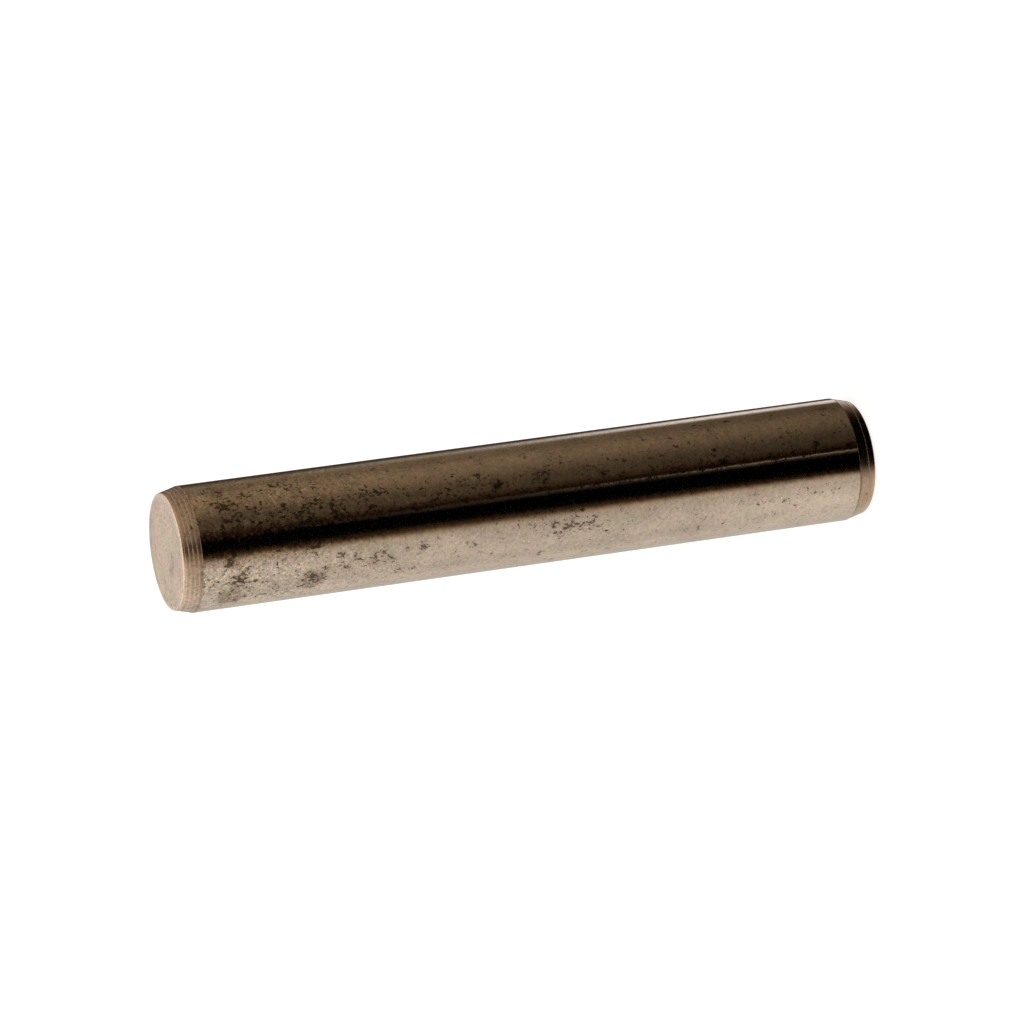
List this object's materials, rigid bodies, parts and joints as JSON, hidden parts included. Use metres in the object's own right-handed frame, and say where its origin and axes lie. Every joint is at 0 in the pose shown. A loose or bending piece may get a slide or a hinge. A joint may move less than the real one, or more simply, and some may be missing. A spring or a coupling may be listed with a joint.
{
  "type": "piston pin",
  "caption": "Solid round steel pin with a ground body and a shallow tapered lead at each flat end, for joining a piston to its rod.",
  "frame": {"origin": "centre of the lower end face, which the pin stands on", "axes": "+Z along the pin's axis, from the end it stands on to the end the picture shows"},
  "size_m": [0.012, 0.012, 0.07],
  "materials": {
    "ground_steel": "ground body, turned leads and ends, with brown handling stains"
  },
  "bodies": {
    "root": {"piston_pin": "ground_steel"}
  },
  "joints": []
}
